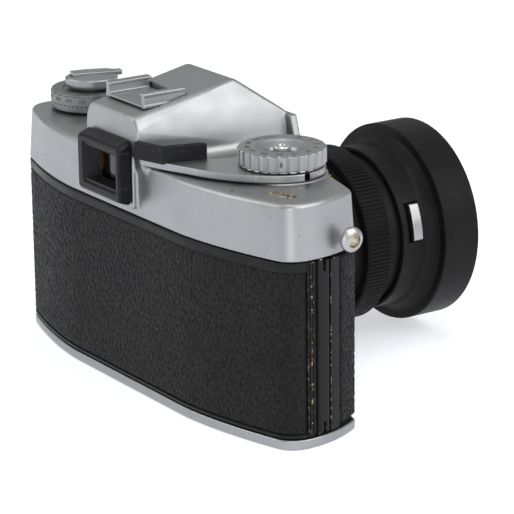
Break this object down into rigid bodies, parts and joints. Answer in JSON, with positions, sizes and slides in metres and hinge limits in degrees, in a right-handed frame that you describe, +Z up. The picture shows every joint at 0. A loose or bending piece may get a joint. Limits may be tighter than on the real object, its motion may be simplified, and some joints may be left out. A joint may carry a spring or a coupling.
{
  "type": "film camera",
  "caption": "Single-lens reflex 35 mm film camera with prism viewfinder, advance lever, dials, hinged back, interchangeable lens and flared lens hood.",
  "frame": {"origin": "middle of the footprint box, on the surface that the base plate stands on", "axes": "+Z up, +Y the way the lens points, +X the right end of the camera seen from behind"},
  "size_m": [0.154, 0.118, 0.0934],
  "materials": {
    "satin_chrome": "satin chrome",
    "bright_steel": "polished",
    "dark_steel": "dark satin",
    "worn_brass": "plating worn through to brass",
    "casting_black": "black painted casting",
    "body_leather": "fine pebbled grain",
    "black_enamel": "satin black",
    "black_plastic": "glossy black",
    "shutter_cloth": "rubberised cloth",
    "clear_glass": "coated",
    "amber_glass": "amber tinted",
    "silvered_mirror": "front silvered"
  },
  "bodies": {
    "camera_body": {"body_casting": "casting_black", "front_leather_right": "body_leather", "front_leather_left": "body_leather", "top_cover": "satin_chrome", "flash_socket_1": "bright_steel", "flash_socket_2": "bright_steel", "accessory_shoe": "satin_chrome", "eyepiece_frame": "black_plastic", "eyepiece_lens": "amber_glass", "focusing_screen": "clear_glass", "pentaprism": "clear_glass", "base_plate": "satin_chrome", "tripod_socket": "bright_steel", "battery": "bright_steel", "base_screw_1": "bright_steel", "base_screw_2": "bright_steel", "base_screw_3": "bright_steel", "strap_lug_right": "worn_brass", "strap_lug_left": "worn_brass", "shutter_curtain": "shutter_cloth", "hinge_leaf": "black_enamel", "hinge_pin": "dark_steel", "counter_window": "clear_glass", "mount_flange": "bright_steel"},
    "door": {"back_door": "black_enamel", "door_leather": "body_leather", "pressure_spring": "bright_steel"},
    "film_plate": {"pressure_plate": "dark_steel"},
    "catch": {"door_catch": "bright_steel"},
    "battery_lid": {"battery_cover": "bright_steel"},
    "rewind_release": {"rewind_release_button": "bright_steel"},
    "lever": {"advance_lever": "satin_chrome", "lever_tip": "black_plastic"},
    "speed_control": {"speed_dial": "satin_chrome"},
    "shutter_release": {"release_button": "bright_steel"},
    "counter": {"counter_disc": "black_enamel"},
    "spool": {"takeup_spool": "black_plastic"},
    "sprocket": {"sprocket_drum": "dark_steel"},
    "roller_left": {"curtain_roller_left": "dark_steel"},
    "roller_right": {"curtain_roller_right": "dark_steel"},
    "film_speed": {"film_speed_ring": "satin_chrome"},
    "rewind_lifter": {"rewind_sleeve": "bright_steel"},
    "rewind": {"rewind_knob": "satin_chrome"},
    "crank": {"rewind_crank": "satin_chrome"},
    "timer": {"self_timer_lever": "satin_chrome"},
    "preview": {"preview_button": "bright_steel"},
    "lens_release": {"lens_release_button": "bright_steel"},
    "mirror": {"reflex_mirror": "silvered_mirror"},
    "lens": {"lens_barrel": "black_enamel", "rear_element": "clear_glass"},
    "aperture": {"aperture_ring": "black_enamel"},
    "focus": {"focus_ring": "black_enamel"},
    "front_lens": {"front_barrel": "black_enamel", "iris_ring": "black_enamel", "front_element": "clear_glass", "lens_hood": "black_enamel"},
    "catch_right": {"hood_catch_right": "bright_steel"},
    "catch_left": {"hood_catch_left": "bright_steel"}
  },
  "joints": [
    {"name": "back_door_swing", "type": "hinge", "parent": "camera_body", "child": "door", "pos_m": [0.0719, -0.0323, 0.03], "axis": [0, 0, 1], "range_deg": [0, 105]},
    {"name": "pressure_plate_give", "type": "slide", "parent": "door", "child": "film_plate", "axis": [0, -1, 0], "range_m": [0, 0.0003], "stiffness_N_per_m": 300, "springref_m": -0.002},
    {"name": "door_catch_slide", "type": "slide", "parent": "camera_body", "child": "catch", "axis": [0, 0, 1], "range_m": [0, 0.004], "stiffness_N_per_m": 150, "springref_m": -0.003},
    {"name": "battery_cover_turn", "type": "hinge", "parent": "camera_body", "child": "battery_lid", "pos_m": [-0.031, -0.024, 0.0016], "axis": [0, 0, 1], "range_deg": [0, 60]},
    {"name": "rewind_release_press", "type": "slide", "parent": "camera_body", "child": "rewind_release", "axis": [0, 0, 1], "range_m": [0, 0.0014], "stiffness_N_per_m": 300, "springref_m": -0.002},
    {"name": "advance_lever_swing", "type": "hinge", "parent": "camera_body", "child": "lever", "pos_m": [0.0431, -0.025, 0.074], "axis": [0, 0, 1], "range_deg": [0, 160], "stiffness_Nm_per_rad": 0.01, "springref_deg": -22.92},
    {"name": "speed_dial_turn", "type": "hinge", "parent": "camera_body", "child": "speed_control", "pos_m": [0.0431, -0.025, 0.078], "axis": [0, 0, 1], "range_deg": [-150, 150]},
    {"name": "release_press", "type": "slide", "parent": "camera_body", "child": "shutter_release", "axis": [0, 0, -1], "range_m": [0, 0.0018], "stiffness_N_per_m": 250, "springref_m": -0.002},
    {"name": "counter_turn", "type": "hinge", "parent": "camera_body", "child": "counter", "pos_m": [0.058, -0.0327, 0.069], "axis": [0, 0, 1], "range_deg": [0, 10]},
    {"name": "takeup_spool_turn", "type": "hinge", "parent": "camera_body", "child": "spool", "pos_m": [0.0555, -0.031, 0.03], "axis": [0, 0, 1], "range_deg": [0, 310]},
    {"name": "sprocket_turn", "type": "hinge", "parent": "camera_body", "child": "sprocket", "pos_m": [0.0355, -0.0415, 0.03], "axis": [0, 0, 1], "range_deg": [0, 365]},
    {"name": "curtain_roller_left_turn", "type": "hinge", "parent": "camera_body", "child": "roller_left", "pos_m": [-0.0282, -0.0382, 0.03], "axis": [0, 0, 1], "range_deg": [0, 520]},
    {"name": "curtain_roller_right_turn", "type": "hinge", "parent": "camera_body", "child": "roller_right", "pos_m": [0.0228, -0.0382, 0.03], "axis": [0, 0, 1], "range_deg": [0, 520]},
    {"name": "film_speed_ring_turn", "type": "hinge", "parent": "camera_body", "child": "film_speed", "pos_m": [-0.0574, -0.0285, 0.075], "axis": [0, 0, 1], "range_deg": [-140, 140]},
    {"name": "rewind_lift", "type": "slide", "parent": "camera_body", "child": "rewind_lifter", "axis": [0, 0, 1], "range_m": [0, 0.008]},
    {"name": "rewind_spin", "type": "hinge", "parent": "rewind_lifter", "child": "rewind", "pos_m": [-0.0574, -0.0285, 0.08], "axis": [0, 0, 1], "continuous": true},
    {"name": "crank_fold", "type": "hinge", "parent": "rewind", "child": "crank", "pos_m": [-0.05906, -0.03385, 0.08265], "axis": [0.9553, -0.2955, 0], "range_deg": [0, 120]},
    {"name": "self_timer_turn", "type": "hinge", "parent": "camera_body", "child": "timer", "pos_m": [-0.042, -0.0115, 0.044], "axis": [0, 1, 0], "range_deg": [0, 100]},
    {"name": "preview_press", "type": "slide", "parent": "camera_body", "child": "preview", "axis": [0, -1, 0], "range_m": [0, 0.0012], "stiffness_N_per_m": 300, "springref_m": -0.002},
    {"name": "lens_release_press", "type": "slide", "parent": "camera_body", "child": "lens_release", "axis": [0, -1, 0], "range_m": [0, 0.0012], "stiffness_N_per_m": 300, "springref_m": -0.002},
    {"name": "mirror_flip", "type": "hinge", "parent": "camera_body", "child": "mirror", "pos_m": [-0.0027, -0.0381, 0.0514], "axis": [1, 0, 0], "range_deg": [0, 45], "stiffness_Nm_per_rad": 0.01, "springref_deg": -17.19},
    {"name": "lens_mount_turn", "type": "hinge", "parent": "camera_body", "child": "lens", "pos_m": [-0.0027, 0.0005, 0.0347], "axis": [0, 1, 0], "range_deg": [0, 50]},
    {"name": "aperture_turn", "type": "hinge", "parent": "lens", "child": "aperture", "pos_m": [-0.0027, 0.0055, 0.0347], "axis": [0, 1, 0], "range_deg": [0, 60]},
    {"name": "focus_turn", "type": "hinge", "parent": "lens", "child": "focus", "pos_m": [-0.0027, 0.0205, 0.0347], "axis": [0, 1, 0], "range_deg": [0, 200]},
    {"name": "front_lens_extend", "type": "slide", "parent": "lens", "child": "front_lens", "axis": [0, 1, 0], "range_m": [0, 0.0076]},
    {"name": "hood_catch_right_press", "type": "slide", "parent": "front_lens", "child": "catch_right", "axis": [-0.9638, 0, -0.2667], "range_m": [0, 0.0006], "stiffness_N_per_m": 300, "springref_m": -0.002},
    {"name": "hood_catch_left_press", "type": "slide", "parent": "front_lens", "child": "catch_left", "axis": [0.9638, 0, 0.2667], "range_m": [0, 0.0006], "stiffness_N_per_m": 300, "springref_m": -0.002}
  ],
  "couplings": [
    {"joint": "counter_turn", "follows": "advance_lever_swing", "ratio": 0.05625},
    {"joint": "takeup_spool_turn", "follows": "advance_lever_swing", "ratio": 1.9},
    {"joint": "sprocket_turn", "follows": "advance_lever_swing", "ratio": 2.25},
    {"joint": "curtain_roller_left_turn", "follows": "advance_lever_swing", "ratio": 3.2},
    {"joint": "curtain_roller_right_turn", "follows": "advance_lever_swing", "ratio": 3.2},
    {"joint": "front_lens_extend", "follows": "focus_turn", "m_per_rad": 0.0021486}
  ]
}
